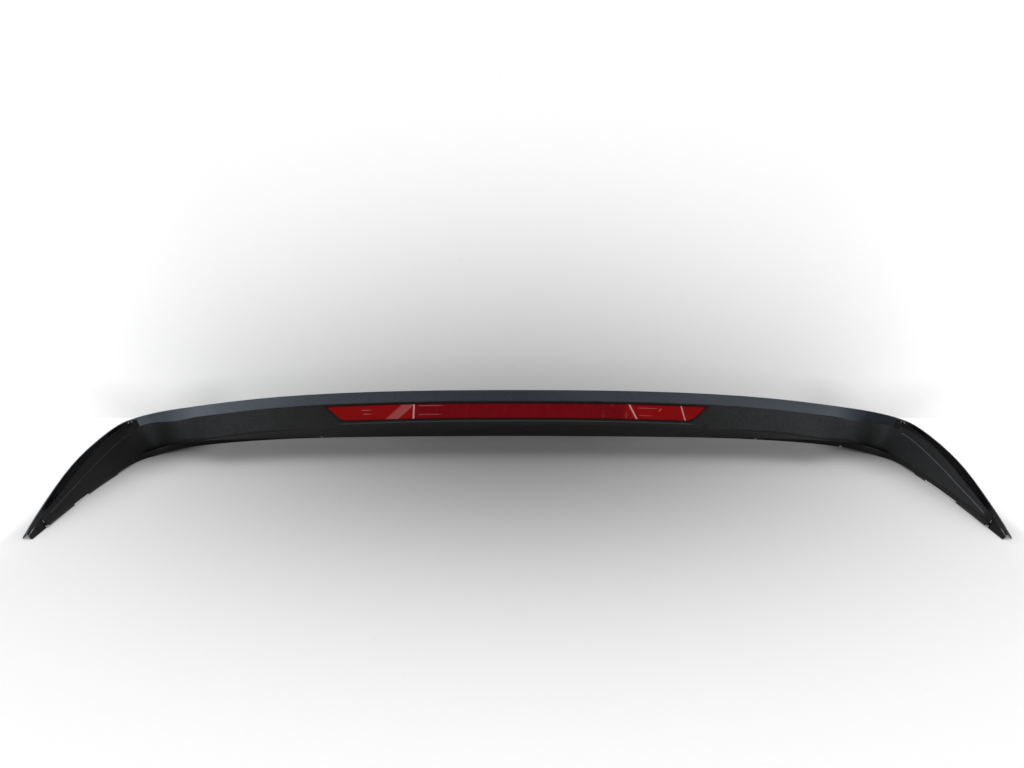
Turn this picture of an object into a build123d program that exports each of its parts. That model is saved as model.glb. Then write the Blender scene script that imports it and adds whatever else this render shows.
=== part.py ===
from build123d import *
import math
import os
from dataclasses import dataclass

# A tailgate spoiler with side fins, lying on the edges that meet the tailgate: Z = 0 is the resting plane,
# X runs along the spoiler, the leading edge lies towards +Y and the fins point towards -Y. Millimetres.

# Trailing edge and the outer edge of the fins
TRAILING_HEIGHT = 102.4
TRAILING_BOW = 37.0
TRAILING_DROP = 29.5
DROP_POWER = 3.5
ROOT_X = 561.0
FIN_LENGTH = 229.0
FIN_FLARE = 33.0
FIN_TIP_HEIGHT = 6.0
FIN_FALL_POWER = 1.6

# Lower edge of the inner panel, where it meets the rear window
LOWER_Y = 16.0
LOWER_SWEEP = 14.0
LOWER_CROWN = 21.5
LOWER_CORNER_R = 75.0
LOWER_CORNER_X = 570.0
LOWER_FLARE = 15.0

# Leading edge of the skin and its lower edge along the fins
LEADING_Y = 140.0
LEADING_SWEEP = 22.0
LEADING_CROWN = 28.0
OUTER_CORNER_R = 112.0
OUTER_CORNER_X = 617.0
OUTER_TIP_X = 599.0

# Path of the cross sections: straight across the middle, then fanned about a corner pivot
CORNER_X = 430.0
PIVOT_BEYOND_TIP = 61.0
PIVOT_Y = -FIN_LENGTH - PIVOT_BEYOND_TIP
MM_PER_DEGREE = 4.6
TIP_AT = 800.0
ROOT_AT = 560.0
MIDDLE_STATIONS = (150, 300, 400, 450, 475, 500, 525, 545, ROOT_AT)
FIN_STATIONS = (ROOT_AT, 580, 605, 640, 690, 745)
STRIP_TURN = (470, 556)
CREASE_TURN = (450, 550)
FIN_TAPER_AT = 660

# Skin
SKIN_WALL = 2.8
SKIN_CROWN = 0.08
STRIP_WIDTH = 17.7
STRIP_ANGLE = 43.0
LIP_WALL = 4.4
TIP_WALL = 1.1
CHANNEL_DEPTH = 2.2
CHANNEL_RIM = 1.6
CHANNEL_ROOT = 8.0
CHANNEL_MIDDLE = 13.0
CHANNEL_TIP = 4.0
CHANNEL_FULL_AT = (660, 690)
STRIP_GROOVE = 0.3

# Inner panel
PANEL_WALL = 2.8
PANEL_GAP = 0.6
BAND_WIDTH = 35.0
BAND_ANGLE = 18.0
LEDGE_HEIGHT = 7.0
LEDGE_TIP_HEIGHT = 4.6
LEDGE_PROUD = 0.8
FOOT_WIDTH = 10.0
FOOT_SHARE = 0.3
PANEL_END_AT = 755.0
CAP_GAP = 0.5
CAP_RECESS = 1.2

# Lamp
LAMP_HALF_WIDTH = 283.5
LAMP_END_RUN = 24.0
LAMP_CORNER_R = 45.0
LAMP_STATIONS = (150, 300, 330)
LENS_TOP = 2.8
LENS_HEIGHT = 22.8
LENS_WALL = 2.4
LENS_RECESS = 0.3
LENS_CLEARANCE = 0.5
RIM_WIDTH = 3.2
RIM_TOP = 1.2
RIM_DEPTH = 0.9
HOUSING_DEPTH = 30.0
HOUSING_WALL = 1.8
FLANGE_REACH = 7.0
FLANGE_TOP = 0.9
FLANGE_WALL = 2.0
GASKET_WALL = 3.0
GASKET_INSET = 1.0
SEAT_GAP = 0.2
BOARD_WALL = 1.6
BOARD_MARGIN = 3.0
LED_PITCH = 28.0
LED_END_ROOM = 52.0
LED_COUNT = int(2 * (LAMP_HALF_WIDTH - LED_END_ROOM) / LED_PITCH)
LED_SIZE = 5.0
LED_HEIGHT = 2.2
REFLECTOR_DEPTH = 10.0
POCKET_LENGTH = 24.0
POCKET_HEIGHT = 14.0
POCKET_TAPER = 16.0
SCREW_R = 1.5
SCREW_HEAD_R = 2.9
SCREW_HEAD_HEIGHT = 2.2
BOSS_R = 2.9
SCREW_END_ROOM = 43.5
SCREW_SPAN = 2 * (LAMP_HALF_WIDTH - SCREW_END_ROOM)
SCREW_COUNT = 4
SCREW_X = [SCREW_SPAN * (i / (SCREW_COUNT - 1) - 0.5) for i in range(SCREW_COUNT)]
CONNECTOR_X = 70.0
CONNECTOR_SIZE = (22.0, 12.0, 14.0)
CONNECTOR_WALL = 1.6
TERMINAL_PITCH = 7.0
TERMINAL_SIZE = (1.0, 2.4, 9.0)

# Brackets, studs and seals
BRACKET_X = (110.0, 330.0)
BRACKET_Y = 82.0
BRACKET_LENGTH = 62.0
BRACKET_WIDTH = 54.0
BRACKET_WALL = 3.4
BRACKET_CORNER_R = 8.0
SEAT_CROWN = 24.0
STUD_R = 3.0
STUD_REACH = 13.0
STUD_SHOULDER_R = 4.0
BRACKET_GAP = 0.5
STUD_HEAD_R = 9.0
STUD_HEAD_HEIGHT = 2.4
STUD_CLEARANCE = 0.2
STUD_BOSS_R = 12.0
STUD_SEAL_R = 11.0
STUD_SEAL_WALL = 4.0
SEAL_WIDTH = 11.0
SEAL_WALL = 5.0
SEAL_INSET = 2.5
SEAL_END_AT = 400.0
FOOT_SEAL_INSET = 5.0
FOOT_SEAL_WALL = 1.8
TAPE_WALL = 3.0
TAPE_START_AT = 590.0
TAPE_INSET = 0.8


def symmetric_guide(half):
    """Edge through a half outline, given from the middle out, and its mirror image."""
    mirrored = [(-x, y, z) for x, y, z in reversed(half[1:])]
    with BuildLine() as guide:
        Spline(*mirrored, *half)
    return guide.edge()


def eased(t):
    """Share of a flare that is reached at a share of the fin's length."""
    return 1 - (1 - t) ** 3


def trailing_edge():
    middle = []
    for t in (0, 0.25, 0.5, 0.7, 0.86, 0.96):
        height = TRAILING_HEIGHT - TRAILING_DROP * t**DROP_POWER
        middle.append((ROOT_X * t, -TRAILING_BOW * t**2, height))
    root_height = TRAILING_HEIGHT - TRAILING_DROP
    fin = []
    for t in (0.08, 0.2, 0.4, 0.6, 0.8, 1, 1.06):
        x = ROOT_X + FIN_FLARE * eased(t)
        height = root_height - (root_height - FIN_TIP_HEIGHT) * t**FIN_FALL_POWER
        fin.append((x, -TRAILING_BOW - FIN_LENGTH * t, height))
    return symmetric_guide(middle + fin)


def rounded_edge(start_y, sweep, crown, foot, corner_x, corner_r, fin_x):
    """Edge that runs out from the middle, turns a round corner and follows the fin to its tip."""
    centre_x = corner_x - corner_r
    side_y = start_y + sweep
    points = []
    for t in (0, 0.33, 0.66, 0.9):
        points.append((centre_x * t, start_y + sweep * t**2, crown))
    for angle in (15, 40, 65, 90):
        turn = math.radians(angle)
        x = centre_x + corner_r * math.sin(turn)
        points.append((x, side_y - corner_r * (1 - math.cos(turn)), crown))
    tip_y = -TRAILING_BOW - FIN_LENGTH
    corner_y = side_y - corner_r
    for t in (0.3, 0.6, 0.85, 1, 1.08):
        points.append((fin_x(t), corner_y + (tip_y - corner_y) * t, crown))
    return symmetric_guide(
        [(x, y, foot + (z - foot) * max(0, 1 - (x / ROOT_X) ** 2)) for x, y, z in points]
    )


def lower_fin_x(t):
    return LOWER_CORNER_X + LOWER_FLARE * eased(t)


def outer_fin_x(t):
    return OUTER_CORNER_X + (OUTER_TIP_X - OUTER_CORNER_X) * t**2


FIN_SEAT = TAPE_WALL + SEAT_GAP
TRAILING = trailing_edge()
LOWER = rounded_edge(
    LOWER_Y, LOWER_SWEEP, LOWER_CROWN, FIN_SEAT, LOWER_CORNER_X, LOWER_CORNER_R, lower_fin_x
)
OUTER = rounded_edge(
    LEADING_Y, -LEADING_SWEEP, LEADING_CROWN, 0, OUTER_CORNER_X, OUTER_CORNER_R, outer_fin_x
)


@dataclass
class Section:
    """Points of one cross section, in its own plane: X outward from the pivot, Y up."""

    at: float
    on_fin: bool
    plane: Plane
    edge: Vector
    lip: Vector
    panel_top: Vector
    crease: Vector
    lower: Vector
    foot: Vector
    outer: Vector

    @property
    def strip_way(self):
        return (self.lip - self.edge).normalized()

    @property
    def band_way(self):
        return (self.crease - self.panel_top).normalized()

    def on_band(self, along, depth):
        """Point of the panel's upper band: distance below its top edge and depth under its face."""
        way = self.band_way
        return self.panel_top + way * along + inward(way) * depth


def inward(way):
    """Normal on the hollow side of a line that runs down the face."""
    return Vector(-way.Y, way.X)


def smooth_step(at, start, end):
    t = min(max((at - start) / (end - start), 0), 1)
    return t * t * (3 - 2 * t)


def mix(first, second, share):
    return first + (second - first) * share


def section_plane(at):
    """Upright plane across the spoiler at a signed distance along its path."""
    beyond = max(abs(at) - CORNER_X, 0) / MM_PER_DEGREE
    turn = math.copysign(math.radians(beyond), at)
    x = math.copysign(min(abs(at), CORNER_X), at)
    way = (math.sin(turn), math.cos(turn), 0)
    normal = (math.cos(turn), -math.sin(turn), 0)
    return Plane(origin=(x, PIVOT_Y, 0), x_dir=way, z_dir=normal)


def crossing(guide, plane):
    hits = [plane.to_local_coords(Vector(*vertex)) for vertex in guide.intersect(plane)]
    return max(hits, key=lambda hit: hit.X)


def channel_width(at):
    """Width of the channel between the outer edge of a fin and its panel."""
    full_from, full_to = CHANNEL_FULL_AT
    widening = mix(CHANNEL_ROOT, CHANNEL_MIDDLE, smooth_step(at, ROOT_AT, full_from))
    return mix(widening, CHANNEL_TIP, smooth_step(at, full_to, TIP_AT))


def slope(angle):
    """Unit vector down the face, leaning out by an angle from the upright."""
    turn = math.radians(angle)
    return Vector(-math.sin(turn), -math.cos(turn))


def section(signed_at, on_fin=False):
    at = abs(signed_at)
    plane = section_plane(signed_at)
    edge, lower, outer = (crossing(guide, plane) for guide in (TRAILING, LOWER, OUTER))
    down = (lower - edge).normalized()
    strip_way = mix(slope(STRIP_ANGLE), down, smooth_step(at, *STRIP_TURN)).normalized()
    lip = edge + strip_way * (channel_width(at) if on_fin else STRIP_WIDTH)
    panel_top = lip + strip_way * PANEL_GAP
    middle_crease = panel_top + slope(BAND_ANGLE) * BAND_WIDTH
    ledge = mix(LEDGE_HEIGHT, LEDGE_TIP_HEIGHT, smooth_step(at, FIN_TAPER_AT, PANEL_END_AT))
    fin_crease = lower - down * ledge - inward(down) * LEDGE_PROUD
    crease = mix(middle_crease, fin_crease, smooth_step(at, *CREASE_TURN))
    foot_width = min(FOOT_WIDTH, FOOT_SHARE * (outer.X - lower.X))
    foot = lower + Vector(foot_width, 0)
    return Section(signed_at, on_fin, plane, edge, lip, panel_top, crease, lower, foot, outer)


def tapered(wall, at):
    """Wall thickness, thinner towards the fin tip."""
    return mix(wall, min(wall, TIP_WALL), smooth_step(abs(at), FIN_TAPER_AT, TIP_AT))


def both_sides(positions):
    return [-at for at in reversed(positions)] + [0] + list(positions)


def loft_along(stations, outline, on_fin=False):
    """Loft the closed outline drawn in the section plane of every station."""
    with BuildPart() as body:
        for at in stations:
            cut = section(at, on_fin)
            with BuildSketch(cut.plane):
                with BuildLine():
                    outline(cut)
                make_face()
        loft()
    return body.part


def loft_fins(stations, outline):
    """The same loft along both fins, each from left to right."""
    left = loft_along([-at for at in reversed(stations)], outline, on_fin=True)
    return left, loft_along(stations, outline, on_fin=True)


def polygon(points):
    Polyline(*(tuple(point) for point in points), close=True)


def crown_point(start, end):
    """Control point that bows the skin outward between its two edges."""
    chord = end - start
    return mix(start, end, 0.5) + Vector(-chord.Y, chord.X) * SKIN_CROWN


def skin_inside(cut, wall, lip_wall):
    """Inner face of the skin: its corner behind the strip, its crown and its lower rim."""
    crown = crown_point(cut.edge, cut.outer)
    top_way = (crown - cut.edge).normalized()
    rim_way = (cut.outer - crown).normalized()
    sine = abs(top_way.X * cut.strip_way.Y - top_way.Y * cut.strip_way.X)
    corner = cut.edge + top_way * (lip_wall / sine) + cut.strip_way * (wall / sine)
    middle_way = (top_way + rim_way).normalized()
    inner_crown = crown + Vector(middle_way.Y, -middle_way.X) * wall
    rim = cut.outer + Vector(-wall / abs(rim_way.Y), 0)
    return corner, inner_crown, rim


def skin_outline(cut):
    wall = tapered(SKIN_WALL, cut.at)
    lip_wall = tapered(LIP_WALL, cut.at)
    corner, inner_crown, rim = skin_inside(cut, wall, lip_wall)
    lip_normal = inward(cut.strip_way)
    band_normal = inward(cut.band_way)
    square = band_normal.dot(lip_normal)
    depth = (CHANNEL_DEPTH if cut.on_fin else STRIP_GROOVE) * lip_wall / LIP_WALL
    top_way = (crown_point(cut.edge, cut.outer) - cut.edge).normalized()
    lean = math.radians(top_way.get_angle(cut.strip_way))
    rim_foot = cut.edge + cut.strip_way * (tapered(CHANNEL_RIM, cut.at) + depth / math.tan(lean))
    lip_face = cut.lip + band_normal * (depth / square)
    lip_inner = cut.lip + band_normal * (lip_wall / square)
    step = (rim_foot, rim_foot + lip_normal * depth)
    Bezier(tuple(cut.outer), tuple(crown_point(cut.edge, cut.outer)), tuple(cut.edge))
    Polyline(*(tuple(point) for point in (cut.edge, *step, lip_face, lip_inner, corner)))
    Bezier(tuple(corner), tuple(inner_crown), tuple(rim))
    Line(tuple(rim), tuple(cut.outer))


def panel_points(cut, inset):
    """Face of the panel from its top edge to its foot, moved inward by an inset."""
    under_way = (cut.lower - cut.crease).normalized()
    band_normal = inward(cut.band_way)
    top = cut.panel_top + band_normal * inset
    bend = band_normal + inward(under_way)
    crease = cut.crease + bend * (inset / bend.dot(band_normal))
    lower = cut.lower + (Vector(1, 0) - under_way) * (inset / abs(under_way.Y))
    foot = cut.foot + Vector(0, inset)
    return [top, crease, lower, foot]


def panel_outline(cut):
    inner = panel_points(cut, tapered(PANEL_WALL, cut.at))
    polygon(panel_points(cut, 0) + inner[::-1])


def cap_outline(cut):
    """End cap of a fin, set back from the panel that it follows."""
    normal = inward(cut.strip_way)
    wall = tapered(PANEL_WALL, cut.at)
    top = cut.panel_top + cut.strip_way * CAP_GAP + normal * CAP_RECESS
    bottom = Vector(cut.lower.X + CAP_RECESS, SEAT_GAP)
    polygon((top, bottom, bottom + Vector(2 * wall, 0), top + normal * wall))


def tape_outline(cut):
    """Foam tape between the panel's foot and the resting plane."""
    start = cut.lower.X + TAPE_INSET
    end = cut.foot.X - TAPE_INSET
    top = cut.lower.Y - SEAT_GAP
    polygon((Vector(start, 0), Vector(end, 0), Vector(end, top), Vector(start, top)))


def lower_seal_outline(cut):
    """Foam strip under the panel's foot across the middle."""
    top = cut.lower.Y - SEAT_GAP
    start = cut.lower.X + FOOT_SEAL_INSET
    end = cut.foot.X - TAPE_INSET
    low = top - FOOT_SEAL_WALL
    polygon((Vector(start, low), Vector(end, low), Vector(end, top), Vector(start, top)))


def leading_seal_outline(cut):
    """Rubber strip inside the skin, along its leading edge."""
    corner, crown, rim = skin_inside(cut, SKIN_WALL + SEAT_GAP, LIP_WALL)
    way = (crown - rim).normalized()
    normal = Vector(way.Y, -way.X) * -1
    start = rim + way * SEAL_INSET + normal * SEAT_GAP
    end = rim + way * (SEAL_INSET + SEAL_WIDTH) + normal * SEAT_GAP * 2
    polygon((start, end, end + normal * SEAL_WALL, start + normal * SEAL_WALL))


def hollow_outline(cut):
    """Space under the skin, a gap inside its inner face."""
    corner, crown, rim = skin_inside(cut, SKIN_WALL + BRACKET_GAP, LIP_WALL + BRACKET_GAP)
    Bezier(tuple(corner), tuple(crown), tuple(rim))
    Polyline(tuple(rim), (rim.X, 0), (corner.X, 0), tuple(corner))


def lamp_ends(grow):
    """Upright prism that gives everything in the lamp its slanted, rounded ends."""
    end = section(LAMP_HALF_WIDTH)
    top = end.on_band(LENS_TOP, 0).Y
    bottom = end.on_band(LENS_TOP + LENS_HEIGHT, 0).Y
    lean = LAMP_END_RUN / (top - bottom)
    top_x = LAMP_HALF_WIDTH + lean * LENS_HEIGHT
    with BuildPart() as prism:
        with BuildSketch(Plane.XZ.offset(-LEADING_Y)):
            with BuildLine():
                bottom_x = LAMP_HALF_WIDTH - LAMP_END_RUN
                high = top + LENS_HEIGHT
                corners = ((-top_x, high), (-bottom_x, bottom), (bottom_x, bottom), (top_x, high))
                Polyline(*corners, close=True)
            face = make_face()
            fillet(face.vertices().group_by(Axis.Y)[0], LAMP_CORNER_R)
            if grow:
                offset(amount=grow, kind=Kind.INTERSECTION, mode=Mode.REPLACE)
        extrude(amount=2 * LEADING_Y)
    return prism.part


def lamp_strip(top, bottom, front, back, grow):
    """Bar along the lamp between two heights on the band and two depths under its face."""

    def outline(cut):
        corners = ((top, front), (bottom, front), (bottom, back), (top, back))
        polygon([cut.on_band(along, depth) for along, depth in corners])

    with BuildPart() as bar:
        add(loft_along(both_sides(LAMP_STATIONS), outline))
        add(lamp_ends(grow), mode=Mode.INTERSECT)
    return bar.part


def band_place(x, along, depth):
    """Point of the lamp's band in the spoiler's own frame."""
    cut = section(x)
    return cut.plane.from_local_coords(cut.on_band(along, depth))


def lamp_plane(x, along, depth):
    """Plane on the lamp's band with Z out through the lens and X along the spoiler."""
    place = band_place(x, along, depth)
    way = band_place(x + 1, along, depth) - band_place(x - 1, along, depth)
    out = band_place(x, along, depth - 1) - place
    down = out.cross(way)
    return Plane(origin=place, x_dir=way, z_dir=way.cross(down))


LENS_BOTTOM = LENS_TOP + LENS_HEIGHT
LENS_BACK = LENS_RECESS + LENS_WALL
HOUSING_FRONT = LENS_BACK + SEAT_GAP
GASKET_FRONT = PANEL_WALL + SEAT_GAP
FLANGE_FRONT = GASKET_FRONT + GASKET_WALL + SEAT_GAP
FLANGE_BACK = FLANGE_FRONT + FLANGE_WALL
BOARD_BACK = HOUSING_DEPTH - HOUSING_WALL - SEAT_GAP
BOARD_FRONT = BOARD_BACK - BOARD_WALL
LED_FRONT = BOARD_FRONT - SEAT_GAP - LED_HEIGHT
REFLECTOR_BACK = LED_FRONT - SEAT_GAP
REFLECTOR_FRONT = REFLECTOR_BACK - REFLECTOR_DEPTH
BAND_MIDDLE = LENS_TOP + LENS_HEIGHT / 2
SCREW_ALONG = LENS_BOTTOM + FLANGE_REACH / 2
SEAL_STATIONS = both_sides([at for at in MIDDLE_STATIONS if at <= SEAL_END_AT])
LED_X = [LED_PITCH * (i - (LED_COUNT - 1) / 2) for i in range(LED_COUNT)]

SIDES = ("left", "right")

os.makedirs("parts", exist_ok=True)


# Upper skin: painted shell from fin tip to fin tip, with a strip across the middle and a channel on each fin
with BuildPart() as upper_skin:
    add(loft_along(both_sides(MIDDLE_STATIONS), skin_outline))
    add(loft_fins(FIN_STATIONS + (TIP_AT,), skin_outline))

# The frame's origin lies under the middle of the whole spoiler
skin_box = upper_skin.part.bounding_box()
TO_FRAME = Location((0, -skin_box.center().Y, 0))


def finish(part, name):
    placed = part.moved(TO_FRAME)
    placed.label = name
    export_step(placed, f"parts/{name}.step")


finish(upper_skin.part, "upper_skin")

# Lower panel: grained shell with the lamp opening, its sunk rim and its screw bosses
with BuildPart() as lower_panel:
    add(loft_along(both_sides(MIDDLE_STATIONS), panel_outline))
    add(loft_fins(FIN_STATIONS + (PANEL_END_AT,), panel_outline))
    for x in SCREW_X:
        with BuildSketch(lamp_plane(x, SCREW_ALONG, FLANGE_FRONT - SEAT_GAP)):
            Circle(BOSS_R)
        extrude(amount=FLANGE_FRONT - PANEL_WALL / 2)
    for x in SCREW_X:
        with BuildSketch(lamp_plane(x, SCREW_ALONG, FLANGE_FRONT)):
            Circle(SCREW_R + STUD_CLEARANCE)
        extrude(amount=FLANGE_FRONT - PANEL_WALL / 2, mode=Mode.SUBTRACT)
    add(
        lamp_strip(LENS_TOP - RIM_TOP, LENS_BOTTOM + RIM_WIDTH, -FLANGE_REACH, RIM_DEPTH, RIM_WIDTH),
        mode=Mode.SUBTRACT,
    )
    opening = lamp_strip(
        LENS_TOP - LENS_CLEARANCE, LENS_BOTTOM + LENS_CLEARANCE, -FLANGE_REACH, FLANGE_FRONT, LENS_CLEARANCE
    )
    add(opening, mode=Mode.SUBTRACT)
finish(lower_panel.part, "lower_panel")

# Lamp lens: a red bar flush with the panel
with BuildPart() as lamp_lens:
    add(lamp_strip(LENS_TOP, LENS_BOTTOM, LENS_RECESS, LENS_BACK, 0))
finish(lamp_lens.part, "lamp_lens")

# Lamp housing: a tray behind the lens with a flange that is screwed to the panel
with BuildPart() as lamp_housing:
    add(lamp_strip(LENS_TOP, LENS_BOTTOM, HOUSING_FRONT, HOUSING_DEPTH, 0))
    add(lamp_strip(FLANGE_TOP, LENS_BOTTOM + FLANGE_REACH, FLANGE_FRONT, FLANGE_BACK, FLANGE_REACH))
    well = lamp_strip(
        LENS_TOP + HOUSING_WALL, LENS_BOTTOM - HOUSING_WALL, 0, HOUSING_DEPTH - HOUSING_WALL, -HOUSING_WALL
    )
    add(well, mode=Mode.SUBTRACT)
    for x in SCREW_X:
        with BuildSketch(lamp_plane(x, SCREW_ALONG, FLANGE_BACK + SEAT_GAP)):
            Circle(SCREW_R + STUD_CLEARANCE)
        extrude(amount=FLANGE_WALL + 2 * SEAT_GAP, mode=Mode.SUBTRACT)
finish(lamp_housing.part, "lamp_housing")

# Lamp gasket: a foam ring between the flange and the panel
with BuildPart() as lamp_gasket:
    ring_bottom = LENS_BOTTOM + FLANGE_REACH - GASKET_INSET
    ring_back = GASKET_FRONT + GASKET_WALL
    add(lamp_strip(FLANGE_TOP, ring_bottom, GASKET_FRONT, ring_back, FLANGE_REACH - GASKET_INSET))
    window = lamp_strip(LENS_TOP - SEAT_GAP, LENS_BOTTOM + SEAT_GAP, 0, HOUSING_DEPTH, SEAT_GAP)
    add(window, mode=Mode.SUBTRACT)
    for x in SCREW_X:
        with BuildSketch(lamp_plane(x, SCREW_ALONG, ring_back + SEAT_GAP)):
            Circle(BOSS_R + SEAT_GAP)
        extrude(amount=GASKET_WALL + 2 * SEAT_GAP, mode=Mode.SUBTRACT)
finish(lamp_gasket.part, "lamp_gasket")

# Lamp reflector: a bar with one tapered pocket for each light
with BuildPart() as lamp_reflector:
    inset = HOUSING_WALL + SEAT_GAP
    add(lamp_strip(LENS_TOP + inset, LENS_BOTTOM - inset, REFLECTOR_FRONT, REFLECTOR_BACK, -inset))
    for x in LED_X:
        with BuildSketch(lamp_plane(x, BAND_MIDDLE, REFLECTOR_FRONT - SEAT_GAP)):
            Rectangle(POCKET_LENGTH, POCKET_HEIGHT)
        extrude(amount=-REFLECTOR_DEPTH - 2 * SEAT_GAP, taper=POCKET_TAPER, mode=Mode.SUBTRACT)
finish(lamp_reflector.part, "lamp_reflector")

# Circuit board and its lights
with BuildPart() as lamp_circuit_board:
    inset = HOUSING_WALL + BOARD_MARGIN
    add(lamp_strip(LENS_TOP + inset, LENS_BOTTOM - inset, BOARD_FRONT, BOARD_BACK, -inset))
finish(lamp_circuit_board.part, "lamp_circuit_board")

with BuildPart() as lamp_leds:
    for x in LED_X:
        with BuildSketch(lamp_plane(x, BAND_MIDDLE, BOARD_FRONT - SEAT_GAP)):
            Rectangle(LED_SIZE, LED_SIZE)
        extrude(amount=LED_HEIGHT)
finish(lamp_leds.part, "lamp_leds")

# Screws through the lamp's flange into the panel's bosses
with BuildPart() as lamp_screws:
    for x in SCREW_X:
        with BuildSketch(lamp_plane(x, SCREW_ALONG, FLANGE_BACK + SEAT_GAP)):
            Circle(SCREW_HEAD_R)
        extrude(amount=-SCREW_HEAD_HEIGHT)
        with BuildSketch(lamp_plane(x, SCREW_ALONG, FLANGE_BACK + SEAT_GAP)):
            Circle(SCREW_R)
        extrude(amount=FLANGE_BACK - PANEL_WALL)
finish(lamp_screws.part, "lamp_screws")

# Socket on the back of the lamp, with its terminals
socket_length, socket_width, socket_depth = CONNECTOR_SIZE
with BuildPart() as lamp_connector:
    with BuildSketch(lamp_plane(CONNECTOR_X, BAND_MIDDLE, HOUSING_DEPTH + SEAT_GAP)):
        RectangleRounded(socket_length, socket_width, CONNECTOR_WALL)
    extrude(amount=-socket_depth)
    with BuildSketch(lamp_plane(CONNECTOR_X, BAND_MIDDLE, HOUSING_DEPTH + SEAT_GAP + socket_depth)):
        Rectangle(socket_length - 2 * CONNECTOR_WALL, socket_width - 2 * CONNECTOR_WALL)
    extrude(amount=socket_depth - CONNECTOR_WALL, mode=Mode.SUBTRACT)
finish(lamp_connector.part, "lamp_connector")

terminal_thickness, terminal_width, terminal_length = TERMINAL_SIZE
with BuildPart() as connector_terminals:
    with BuildSketch(
        lamp_plane(CONNECTOR_X, BAND_MIDDLE, HOUSING_DEPTH + SEAT_GAP + CONNECTOR_WALL + STUD_CLEARANCE)
    ):
        with GridLocations(TERMINAL_PITCH, 0, 2, 1):
            Rectangle(terminal_thickness, terminal_width)
    extrude(amount=-terminal_length)
finish(connector_terminals.part, "connector_terminals")

# Brackets under the skin, each with its stud
hollow = loft_along(SEAL_STATIONS, hollow_outline)


def seat_height(x):
    """Height of the tailgate's crowned face under a bracket."""
    return SEAT_CROWN * (1 - (x / ROOT_X) ** 2)


def bracket(x):
    base = Plane.XY.offset(seat_height(x))
    with BuildPart() as body:
        with BuildSketch(base):
            with Locations((x, BRACKET_Y)):
                RectangleRounded(BRACKET_WIDTH, BRACKET_LENGTH, BRACKET_CORNER_R)
        extrude(amount=BRACKET_WALL)
        with BuildSketch(base):
            with Locations((x, BRACKET_Y)):
                with GridLocations(BRACKET_WIDTH - BRACKET_WALL, 0, 2, 1):
                    Rectangle(BRACKET_WALL, BRACKET_LENGTH - 2 * BRACKET_CORNER_R)
            with Locations((x, BRACKET_Y + STUD_BOSS_R + BRACKET_WALL)):
                Rectangle(BRACKET_WIDTH - BRACKET_WALL, BRACKET_WALL)
        extrude(amount=TRAILING_HEIGHT)
        add(hollow, mode=Mode.INTERSECT)
        with BuildSketch(base):
            with Locations((x, BRACKET_Y)):
                Circle(STUD_BOSS_R)
        extrude(amount=BRACKET_WALL + STUD_HEAD_HEIGHT)
        with BuildSketch(base.offset(BRACKET_WALL)):
            with Locations((x, BRACKET_Y)):
                Circle(STUD_HEAD_R + STUD_CLEARANCE)
        extrude(amount=STUD_HEAD_HEIGHT, mode=Mode.SUBTRACT)
        with Locations((x, BRACKET_Y, seat_height(x))):
            Hole(STUD_SHOULDER_R + STUD_CLEARANCE)
    return body.part


for side, side_name in zip((-1, 1), SIDES):
    for place, place_name in zip(BRACKET_X, ("inner", "outer")):
        with BuildPart() as mount_bracket:
            add(bracket(side * place))
        finish(mount_bracket.part, f"{place_name}_bracket_{side_name}")

stud_x = [side * place for side in (-1, 1) for place in BRACKET_X]
with BuildPart() as mount_studs:
    for x in stud_x:
        seat = Plane.XY.offset(seat_height(x) + BRACKET_WALL)
        with BuildSketch(seat):
            with Locations((x, BRACKET_Y)):
                Circle(STUD_HEAD_R)
        extrude(amount=STUD_HEAD_HEIGHT)
        with BuildSketch(seat):
            with Locations((x, BRACKET_Y)):
                Circle(STUD_SHOULDER_R)
        extrude(amount=-BRACKET_WALL - STUD_SEAL_WALL)
        with BuildSketch(seat):
            with Locations((x, BRACKET_Y)):
                Circle(STUD_R)
        extrude(amount=-BRACKET_WALL - STUD_REACH)
finish(mount_studs.part, "mount_studs")

with BuildPart() as stud_seals:
    for x in stud_x:
        with BuildSketch(Plane.XY.offset(seat_height(x))):
            with Locations((x, BRACKET_Y)):
                Circle(STUD_SEAL_R)
                Circle(STUD_SHOULDER_R + STUD_CLEARANCE, mode=Mode.SUBTRACT)
        extrude(amount=-STUD_SEAL_WALL)
finish(stud_seals.part, "stud_seals")

# Seals across the middle
with BuildPart() as leading_edge_seal:
    add(loft_along(SEAL_STATIONS, leading_seal_outline))
finish(leading_edge_seal.part, "leading_edge_seal")

with BuildPart() as lower_edge_seal:
    add(loft_along(SEAL_STATIONS, lower_seal_outline))
finish(lower_edge_seal.part, "lower_edge_seal")

# Tape and end cap of each fin
taped = [TAPE_START_AT] + [at for at in FIN_STATIONS if at > TAPE_START_AT]
capped = [PANEL_END_AT + CAP_GAP, TIP_AT]
for tape, cap, side_name in zip(loft_fins(taped, tape_outline), loft_fins(capped, cap_outline), SIDES):
    with BuildPart() as fin_tape:
        add(tape)
    finish(fin_tape.part, f"fin_tape_{side_name}")
    with BuildPart() as fin_end_cap:
        add(cap)
    finish(fin_end_cap.part, f"fin_end_cap_{side_name}")
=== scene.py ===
# %% [markdown]
# # A car's rear spoiler, rebuilt in Blender
# The spoiler lies on the edges that meet the tailgate, with its two fins towards us. Its solids come
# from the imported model, in metres and already in place, so this lesson gives them their finishes, adds
# a few thin pieces, and sets up the floor, the light and the camera.

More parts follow.
